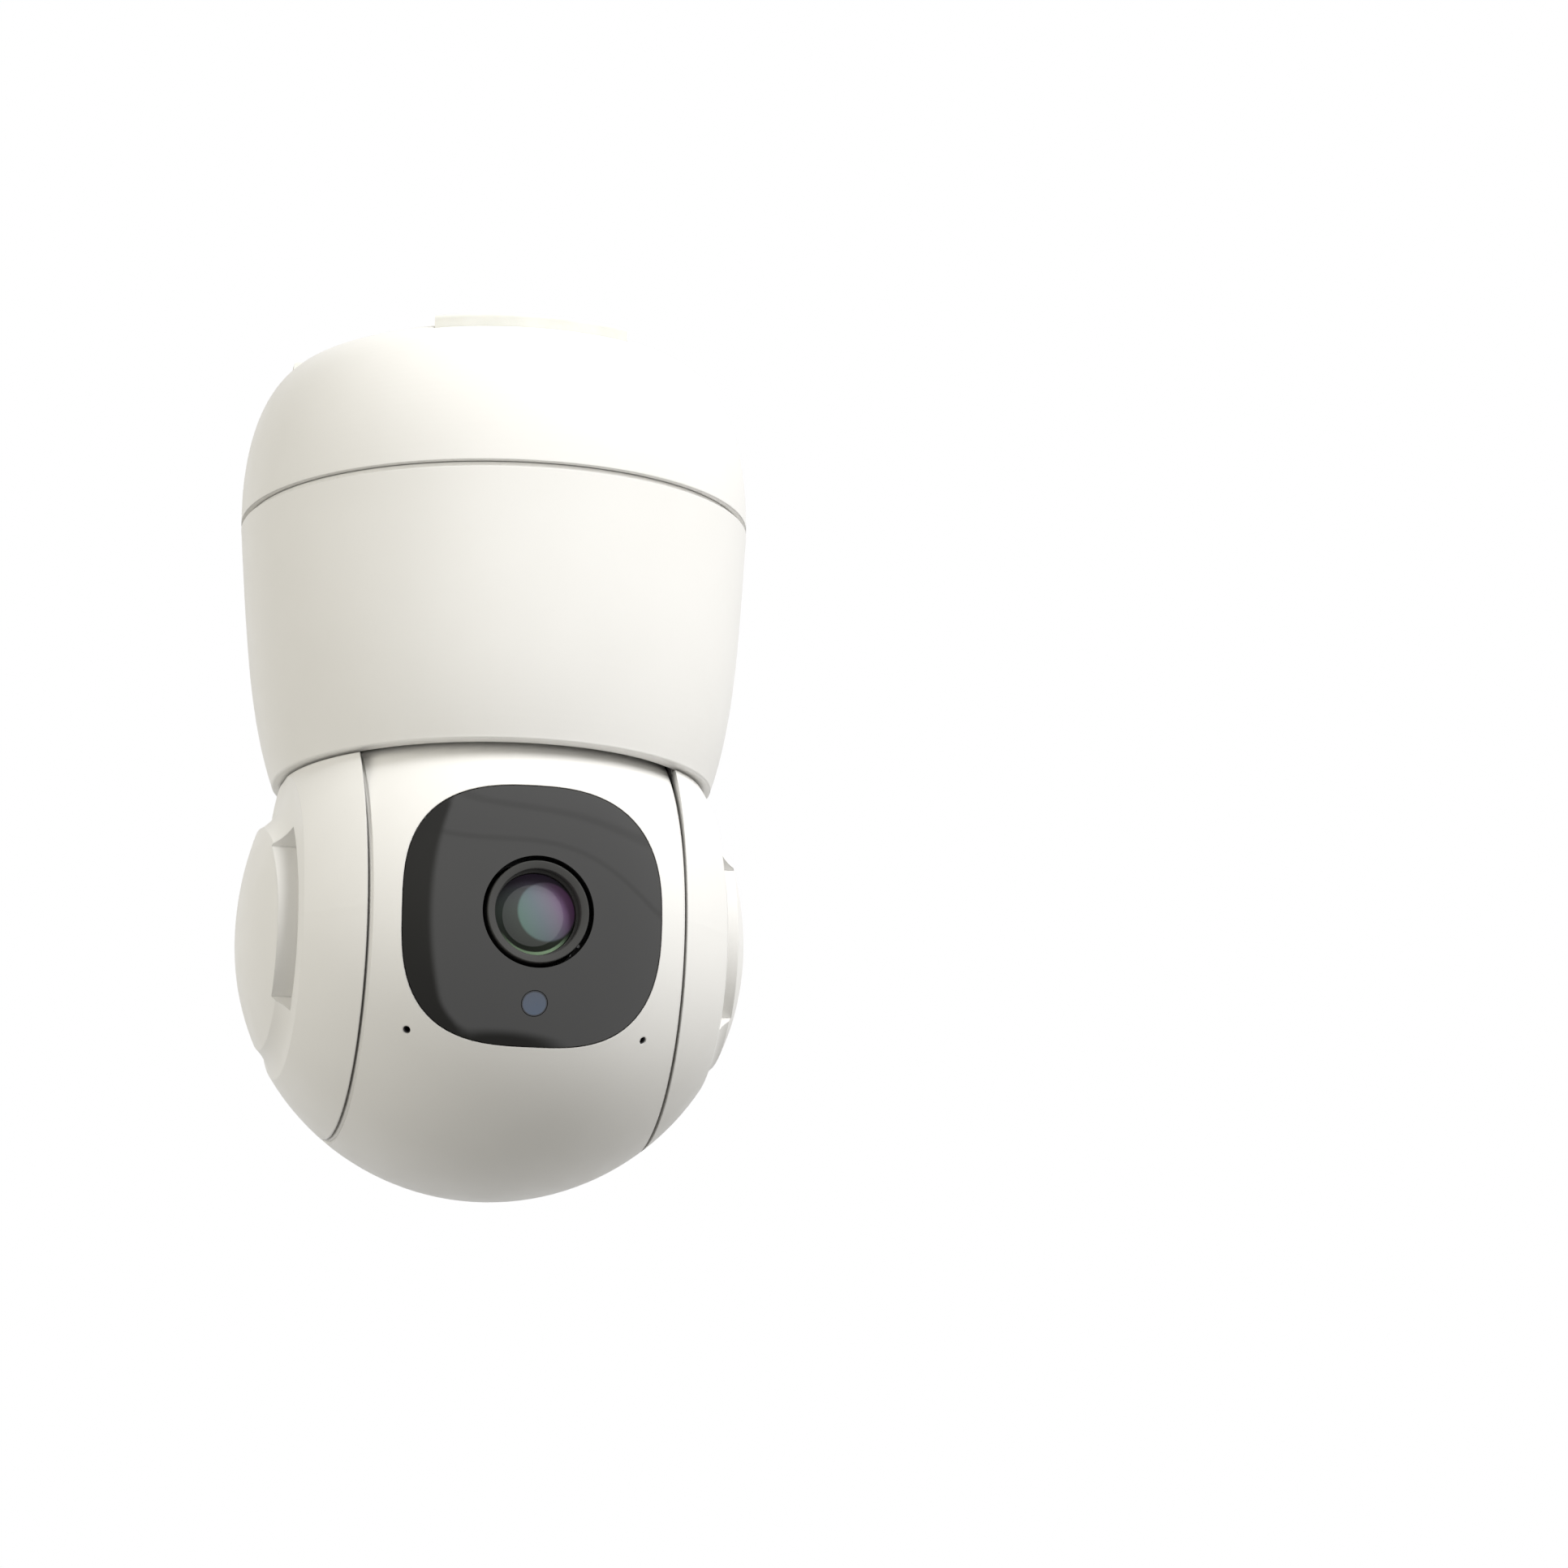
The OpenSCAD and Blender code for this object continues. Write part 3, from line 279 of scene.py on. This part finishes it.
def lens_glass_with_painted_reflection():
    """Coated front element: deep green glass, a teal to violet painted reflection off the coating and a pale
    green rim.
    """
    s = Shader("lens_coated_glass")
    axes = s.node("ShaderNodeSeparateXYZ")
    s.link(s.place, axes.inputs[0])
    x, z = axes.outputs["X"], axes.outputs["Z"]

    def distance(cx, cz):
        return s.length(s.math("SUBTRACT", x, cx), s.math("SUBTRACT", z, cz))

    def disc(cx, cz, radius, edge):
        return s.span(distance(cx, cz), radius - edge, radius + edge, 1.0, 0.0, True)

    centre = HEAD + FORWARD * LENS_FACE
    # deep part, green below and violet above
    height = s.span(z, centre.z - 0.005, centre.z + 0.006)
    deep = s.ramp(height, [(0.0, (0.030, 0.036, 0.028)), (0.5, (0.046, 0.058, 0.052)),
                           (0.78, (0.052, 0.056, 0.062)), (1.0, (0.085, 0.060, 0.110))])
    # painted reflection off the coating, teal at lower left to violet at upper right
    slope = s.math("ADD", s.math("MULTIPLY", s.math("SUBTRACT", x, centre.x + 0.0016), 0.94),
                   s.math("MULTIPLY", s.math("SUBTRACT", z, centre.z), 0.42))
    painted_reflection = s.ramp(s.span(slope, -0.0046, 0.0046), [
        (0.0, (0.115, 0.210, 0.180)), (0.35, (0.130, 0.170, 0.195)),
        (0.62, (0.165, 0.150, 0.205)), (1.0, (0.250, 0.115, 0.280))])
    # spot is the round disc where the painted reflection covers the deep colour
    spot = disc(centre.x + PAINTED_REFLECTION_SIDE, centre.z + PAINTED_REFLECTION_UP, PAINTED_REFLECTION_R, PAINTED_REFLECTION_EDGE)
    colour = s.mix(spot, deep, painted_reflection)
    # pale green rim along the lower left edge
    away = distance(centre.x, centre.z)
    ring = s.math("MULTIPLY", s.span(away, 0.0056, 0.0058, 0.0, 1.0, True),
                  s.span(away, 0.0061, 0.0062, 1.0, 0.0, True))
    low = s.span(z, centre.z - 0.0058, centre.z - 0.0025, 1.0, 0.0, True)
    rim = s.math("MULTIPLY", ring, low)
    colour = s.mix(rim, colour, (0.42, 0.62, 0.40))
    s.set(
        Base_Color=colour,
        Roughness=0.04,
        IOR=1.5,
        Specular_IOR_Level=0.35,
        Coat_Weight=0.3,
        Coat_Roughness=0.02,
        Normal=s.bump(s.noise(400.0, 1.0), 0.000002, 0.1),
    )
    return s.material


DOT_PAINTED_SHADE = 1.72 * MM                           # the painted shade of the gap round the dot starts here and is full a little outside
DOT_PAINTED_SHADE_FULL = 1.82 * MM
DOT_STRETCH = 1.1                                 # the tilted face is this much shorter seen from ahead


def sensor_blue():
    """Blue-grey end of the light pipe with a thin dark ring of painted shade for the gap round it."""
    s = Shader("light_pipe_blue")
    cloud = s.noise(500.0, 2.0)
    axes = s.node("ShaderNodeSeparateXYZ")
    s.link(s.place, axes.inputs[0])
    low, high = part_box("light_pipe")
    fall = s.span(axes.outputs["Z"], low.z, high.z)
    tone = s.ramp(fall, [(0.0, (0.060, 0.100, 0.175)), (1.0, (0.080, 0.085, 0.108))])
    middle = (low + high) / 2
    dx = s.math("SUBTRACT", axes.outputs["X"], middle.x)
    dz = s.math("MULTIPLY", s.math("SUBTRACT", axes.outputs["Z"], DOT_FACE_Z), DOT_STRETCH)
    # painted shade: a dark ring where the gap round the dot lies in shadow
    painted_gap_shade = s.span(s.length(dx, dz), DOT_PAINTED_SHADE, DOT_PAINTED_SHADE_FULL, 0.0, 1.0, True)
    tone = s.mix(painted_gap_shade, tone, (0.010, 0.013, 0.022))
    s.set(
        Base_Color=s.mix(s.span(cloud, 0.3, 0.7, 0.0, 0.15), tone, (0.12, 0.13, 0.17)),
        Roughness=0.12,
        IOR=1.5,
        Coat_Weight=0.4,
    )
    return s.material


WINDOW = smoke_window()
GLASS = lens_glass_with_painted_reflection()
DOT = sensor_blue()
LENS_BLACK = moulded("lens_black", (0.052, 0.052, 0.050), (0.044, 0.044, 0.043), 0.36, 0.0003, 0.00001)
LED = moulded("led_clear", (0.30, 0.30, 0.34), (0.22, 0.22, 0.26), 0.12, 0.001, 0.000005)
FILTER = moulded("filter_glass", (0.30, 0.55, 0.62), (0.24, 0.48, 0.56), 0.06, 0.002, 0.000002)
CHIP = moulded("sensor_chip", (0.08, 0.085, 0.12), (0.05, 0.055, 0.08), 0.2, 0.0005, 0.000005)
CABLE = moulded("cable_black", (0.028, 0.028, 0.03), (0.018, 0.018, 0.02), 0.55, 0.0007, 0.00004)

PAINT = {
    "white_shell": WHITE, "white_plate": PLATE, "inner_plastic": INNER, "pad_rubber": rubber(),
    "gear_plastic": GEAR, "steel": STEEL, "black_steel": DARK_STEEL, "circuit_board": GREEN_BOARD,
    "black_board": BLACK_BOARD, "motor_steel": MOTOR, "heatsink_metal": FINS, "speaker_black": BLACK,
    "antenna_copper": COPPER, "cable_black": CABLE, "window_smoke": WINDOW, "lens_black": LENS_BLACK,
    "lens_coated_glass": GLASS, "filter_glass": FILTER, "sensor_chip": CHIP, "led_clear": LED,
    "light_pipe_blue": DOT,
}
for node in NODES.values():
    for slot in node.material_slots:
        slot.material = PAINT[slot.material.name.split(".")[0]]


# ---- mesh helpers ----
def piece(name, mesh, material, body, matrix=None, smooth=True):
    """One visible piece that rides on a body."""
    obj = bpy.data.objects.new(name, mesh)
    bpy.context.scene.collection.objects.link(obj)
    if matrix is not None:
        mesh.transform(matrix)
    mesh.materials.append(material)
    if smooth:
        for face in mesh.polygons:
            face.use_smooth = True
    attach(obj, body)
    return obj


def lathe(name, profile, material, body, matrix, steps=128, sharp=35):
    """Closed turned part: profile is (radius, height) in mm, revolved about z."""
    bm = bmesh.new()
    rings = []
    for r, h in profile:
        if r < 1e-6:
            rings.append([bm.verts.new((0, 0, h * MM))])
        else:
            rings.append([bm.verts.new((r * MM * math.cos(2 * math.pi * k / steps),
                                        r * MM * math.sin(2 * math.pi * k / steps), h * MM))
                          for k in range(steps)])
    pairs = list(zip(rings, rings[1:]))
    if len(rings[0]) > 1:
        pairs.append((rings[-1], rings[0]))
    for a, b in pairs:
        for k in range(steps):
            m = (k + 1) % steps
            corners = [a[k % len(a)], a[m % len(a)], b[m % len(b)], b[k % len(b)]]
            corners = list(dict.fromkeys(corners))
            if len(corners) > 2:
                bm.faces.new(corners)
    bmesh.ops.recalc_face_normals(bm, faces=bm.faces)
    for edge in bm.edges:
        if len(edge.link_faces) == 2 and edge.calc_face_angle() > math.radians(sharp):
            edge.smooth = False
    mesh = bpy.data.meshes.new(name)
    bm.to_mesh(mesh)
    bm.free()
    return piece(name, mesh, material, body, matrix)


# ---- lens ----
def cap(radius_top, centre, rim_r, floor, count=10):
    """Profile of a domed glass element from its apex to its edge and flat back."""
    points = [(0, floor)]
    outer = [(rim_r * k / count, centre + math.sqrt(radius_top ** 2 - (rim_r * k / count) ** 2))
             for k in range(count, -1, -1)]
    return points + [(rim_r, floor)] + outer


element = lathe("front_element", cap(13.0, 24.2, 6.2, 33.9), GLASS, "head", LENS)
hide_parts("lens_glass")

bezel = lathe("bezel_ring", [
    (7.07, 29.6), (7.83, 29.6), (7.83, 38.52), (7.80, 38.66), (7.74, 38.74), (7.64, 38.78), (6.72, 38.55),
    (6.64, 38.5), (6.58, 38.4), (6.58, 38.25), (6.77, 38.05), (6.77, 37.3), (6.77, 36.62), (7.07, 36.42),
], LENS_BLACK, "head", LENS)
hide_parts("lens_bezel")

# ---- microphone sleeves: short dark tubes inside the two sound holes ----
MIC_SIDE, MIC_DOWN, HEAD_R = 18.2, 17.7, 39.7     # mm from the lens axis, and the head's radius
SLEEVE_BORE, SLEEVE_LIP, SLEEVE_R = 0.42, 0.56, 0.595
SLEEVE_START, SLEEVE_INNER, SLEEVE_OUTER, SLEEVE_END = 37.4, 39.42, 39.45, 39.5
SLEEVE = [(SLEEVE_BORE, SLEEVE_START), (SLEEVE_R, SLEEVE_START), (SLEEVE_R, SLEEVE_OUTER),
          (SLEEVE_LIP, SLEEVE_END), (SLEEVE_BORE, SLEEVE_INNER)]
for side, name in ((-1, "mic_sleeve_left"), (1, "mic_sleeve_right")):
    depth = math.sqrt(HEAD_R ** 2 - MIC_SIDE ** 2 - MIC_DOWN ** 2)
    out_along = (Vector((side * MIC_SIDE, 0, 0)) - UPWARD * MIC_DOWN + FORWARD * depth).normalized()
    turn = out_along.to_track_quat("Z", "Y").to_matrix().to_4x4()
    lathe(name, SLEEVE, BLACK, "head", Matrix.Translation(HEAD) @ turn, 32)

# ---- gold contacts on both faces of the power socket's tongue ----
GOLD = metal("gold_plate", (0.83, 0.62, 0.28), (0.72, 0.52, 0.22), 0.25)
CONTACTS, PITCH = 10, 0.6 * MM
STRIP = (0.3 * MM, 4.6 * MM, 0.06 * MM, 1)        # width, length and thickness of one contact
STRIP_BACK = 3.1 * MM                             # middle of a strip, behind the socket's mouth
STRIP_OFF = 0.37 * MM                             # and off the tongue's middle plane
STRIP_BEVEL = 0.02 * MM
low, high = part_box("power_socket")
tongue = bmesh.new()
for k in range(CONTACTS):
    for face in (-1, 1):
        spot = ((k - (CONTACTS - 1) / 2) * PITCH, high.y - STRIP_BACK, (low.z + high.z) / 2 + face * STRIP_OFF)
        bmesh.ops.create_cube(tongue, size=1.0, matrix=Matrix.Translation(spot) @ Matrix.Diagonal(STRIP))
bmesh.ops.bevel(tongue, geom=tongue.edges[:], offset=STRIP_BEVEL, segments=1, affect="EDGES")
contacts = bpy.data.meshes.new("socket_contacts")
tongue.to_mesh(contacts)
tongue.free()
piece("socket_contacts", contacts, GOLD, "base", smooth=False)

# ---- camera, floor and light ----
scene = bpy.context.scene
VIEW_AZ, VIEW_EL, ROLL = math.radians(10.9), math.radians(-11.93), math.radians(0.61)
DISTANCE = 0.9925                                 # from the head's centre
AIM_RIGHT, AIM_UP = 0.0461, 0.02565               # the middle of the picture, from the head's centre
FLOOR_HALF, FLOOR_Z = 6, -0.9
level = math.cos(VIEW_EL)
back = Vector((-math.sin(VIEW_AZ) * level, -math.cos(VIEW_AZ) * level, math.sin(VIEW_EL)))
camera_data = bpy.data.cameras.new("camera")
camera_data.lens = 145.6
camera_data.sensor_width = 36.0
camera = bpy.data.objects.new("camera", camera_data)
scene.collection.objects.link(camera)
scene.camera = camera
camera.location = HEAD + back * DISTANCE
straight = (-back).to_track_quat("-Z", "Y").to_matrix() @ Matrix.Rotation(ROLL, 3, "Z")
right, upward = straight.col[0].copy(), straight.col[1].copy()
# the head's centre sits left of and below the middle of the frame
aim = HEAD + right * AIM_RIGHT + upward * AIM_UP
swing = (-back).rotation_difference(aim - camera.location).to_matrix()
camera.rotation_euler = (swing @ straight).to_euler()

floor_mesh = bpy.data.meshes.new("floor")
corners = [(a * FLOOR_HALF, b * FLOOR_HALF, FLOOR_Z) for a, b in ((-1, -1), (1, -1), (1, 1), (-1, 1))]
floor_mesh.from_pydata(corners, [], [(0, 1, 2, 3)])
floor = bpy.data.objects.new("floor", floor_mesh)
scene.collection.objects.link(floor)
paper = Shader("pale_floor")
paper.set(
    Base_Color=paper.mix(paper.span(paper.noise(3.0), 0.3, 0.7), (0.86, 0.86, 0.85), (0.9, 0.9, 0.89)),
    Roughness=0.8,
)
floor_mesh.materials.append(paper.material)


def softbox(name, place, side, power, colour):
    """A square soft lamp aimed at the head, which shiny surfaces do not mirror."""
    data = bpy.data.lights.new(name, "AREA")
    data.shape, data.size, data.size_y = "RECTANGLE", side, side
    data.energy, data.color = power, colour
    obj = bpy.data.objects.new(name, data)
    obj.location = place
    obj.rotation_euler = (HEAD - place).to_track_quat("-Z", "Y").to_euler()
    obj.visible_glossy = False
    scene.collection.objects.link(obj)


def from_camera(across, above, towards, distance=1.2):
    """A place at that distance from the head, in the camera's own directions."""
    return HEAD + (right * across + upward * above + back * towards).normalized() * distance


softbox("key", from_camera(0.56, 0.74, 0.37), 0.7, 15.0, (1.0, 0.998, 0.99))
softbox("side_fill", from_camera(-0.85, 0.3, 0.42), 0.9, 6.2, (1.0, 0.965, 0.86))
floor.visible_diffuse = False
floor.visible_glossy = False

world = bpy.data.worlds.new("studio")
world.use_nodes = True
scene.world = world
tree = world.node_tree
tree.nodes.clear()
out = tree.nodes.new("ShaderNodeOutputWorld")
place = tree.nodes.new("ShaderNodeTexCoord")
parts = tree.nodes.new("ShaderNodeSeparateXYZ")
tree.links.new(place.outputs["Generated"], parts.inputs[0])


def wmath(operation, a, b=0.0):
    made = tree.nodes.new("ShaderNodeMath")
    made.operation = operation
    for at, value in enumerate((a, b)):
        if isinstance(value, bpy.types.NodeSocket):
            tree.links.new(value, made.inputs[at])
        else:
            made.inputs[at].default_value = value
    return made.outputs[0]


def background(colour, strength):
    made = tree.nodes.new("ShaderNodeBackground")
    made.inputs["Color"].default_value = (*colour, 1)
    if isinstance(strength, bpy.types.NodeSocket):
        tree.links.new(strength, made.inputs["Strength"])
    else:
        made.inputs["Strength"].default_value = strength
    return made.outputs[0]


def choose(flag, a, b):
    made = tree.nodes.new("ShaderNodeMixShader")
    tree.links.new(flag, made.inputs[0])
    tree.links.new(a, made.inputs[1])
    tree.links.new(b, made.inputs[2])
    return made.outputs[0]


def wlength(a, b):
    return wmath("SQRT", wmath("ADD", wmath("MULTIPLY", a, a), wmath("MULTIPLY", b, b)))


def soft_step(value, low, high, under, over):
    """One strength below low, another above high, and a smooth change between."""
    made = tree.nodes.new("ShaderNodeMapRange")
    made.interpolation_type = "SMOOTHSTEP"
    for at, number in enumerate((low, high, under, over), 1):
        made.inputs[at].default_value = number
    tree.links.new(value, made.inputs[0])
    return made.outputs[0]


# what shiny surfaces mirror: a big white screen in front that ends to the left and below
SCREEN_LEFT, SCREEN_LOW = -0.36, -0.52
x, y, z = (parts.outputs[axis] for axis in "XYZ")
across = wmath("DIVIDE", x, wmath("MAXIMUM", wlength(x, y), 0.01))
past_left = wmath("MAXIMUM", wmath("SUBTRACT", SCREEN_LEFT, across), 0.0)
past_low = wmath("MAXIMUM", wmath("SUBTRACT", SCREEN_LOW, z), 0.0)
edge = soft_step(wlength(past_left, past_low), 0.21, 0.27, 1.0, 0.05)

# two faint lines mirrored in the window: z as a cubic of x, highest power first;
# each was fitted to five places on its line and rounded
HIGH_LINE = (-0.33, 0.03, -0.14, 0.83)
LOW_LINE = (-0.40, -0.09, -0.05, 0.62)


def dark_line(cubic):
    """A thin soft line across the screen, a fifth darker than the screen at its middle."""
    line = 0.0
    for number in cubic:
        line = wmath("ADD", wmath("MULTIPLY", line, x), number)
    return soft_step(wmath("ABSOLUTE", wmath("SUBTRACT", z, line)), 0.004, 0.03, 0.80, 1.0)


screen = wmath("MULTIPLY", wmath("MULTIPLY", dark_line(HIGH_LINE), dark_line(LOW_LINE)), edge)
mirrored = background((1, 1, 1), screen)
glow = background((1.0, 0.975, 0.91), 0.42)
plain = background((1, 1, 1), 1.0)
ray = tree.nodes.new("ShaderNodeLightPath")
lit = choose(ray.outputs["Is Glossy Ray"], glow, mirrored)
tree.links.new(choose(ray.outputs["Is Camera Ray"], lit, plain), out.inputs["Surface"])
scene.view_settings.view_transform = "Standard"
